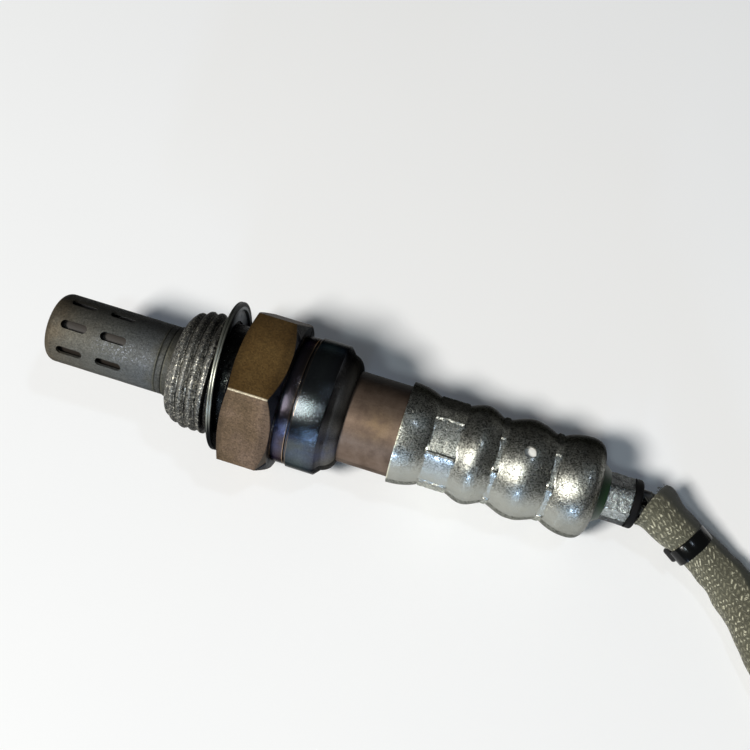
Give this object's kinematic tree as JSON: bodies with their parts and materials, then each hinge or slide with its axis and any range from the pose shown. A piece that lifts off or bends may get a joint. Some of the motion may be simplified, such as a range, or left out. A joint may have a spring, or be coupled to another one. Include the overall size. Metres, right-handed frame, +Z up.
{
  "type": "oxygen sensor",
  "caption": "Heated exhaust oxygen sensor: louvred gas shroud, threaded hexagon shell, heat-tinted sleeve, beaded steel shield, and a short braided lead ending in a sealed plug.",
  "frame": {"origin": "on the surface the sensor lies on, under the middle of the sensor without its free lead", "axes": "+X from the gas shroud's tip towards the cable, +Z up from the surface; the sensor's axis leans 4.5 degrees down towards the cable"},
  "size_m": [0.1961, 0.0828, 0.0233],
  "materials": {
    "shroud_steel": "dulled heat-stained stainless sheet",
    "inner_shroud_steel": "satin stainless sheet",
    "zirconia": "white fired ceramic",
    "alumina": "white fired ceramic",
    "packing_steel": "plain steel",
    "talc": "pressed mineral powder",
    "shell_steel": "heat-tinted turned steel",
    "gasket_steel": "folded steel sheet",
    "sleeve_steel": "brown heat-tinted tube",
    "shield_steel": "bright satin stainless sheet",
    "filter": "white porous film",
    "contact_metal": "nickel-plated spring sheet",
    "wire_black": "black wire insulation",
    "green_silicone": "dark green silicone",
    "ferrule_metal": "crimped bright metal",
    "black_rubber": "matt black rubber",
    "braid": "knitted glass-fibre sleeve",
    "tie_nylon": "black nylon",
    "plug_plastic": "dark grey moulded nylon",
    "seal_silicone": "brick-red silicone",
    "lock_plastic": "pale grey moulded plastic"
  },
  "bodies": {
    "root": {"outer_shroud": "shroud_steel", "inner_shroud": "inner_shroud_steel", "sensing_element": "zirconia", "heater_rod": "alumina", "packing_washer": "packing_steel", "talc_packing": "talc", "insulator_bush": "alumina", "threaded_shell": "shell_steel", "sealing_gasket": "gasket_steel", "sleeve_tube": "sleeve_steel", "caulk_ring": "packing_steel", "outer_shield": "shield_steel", "vent_filter": "filter", "contact_holder": "alumina", "holder_clip": "contact_metal", "inner_contact": "contact_metal", "outer_contact": "contact_metal", "heater_contact_1": "contact_metal", "heater_contact_2": "contact_metal", "lead_wire_1": "wire_black", "lead_wire_2": "wire_black", "lead_wire_3": "wire_black", "lead_wire_4": "wire_black", "grommet": "green_silicone", "crimp_ferrule": "ferrule_metal", "end_ring": "black_rubber", "braided_sleeve": "braid", "cable_tie": "tie_nylon", "plug_wire_1": "wire_black", "plug_wire_2": "wire_black", "plug_wire_3": "wire_black", "plug_wire_4": "wire_black", "plug_housing": "plug_plastic", "wire_seal": "seal_silicone", "terminal_lock": "lock_plastic", "plug_terminals": "contact_metal"}
  },
  "joints": []
}
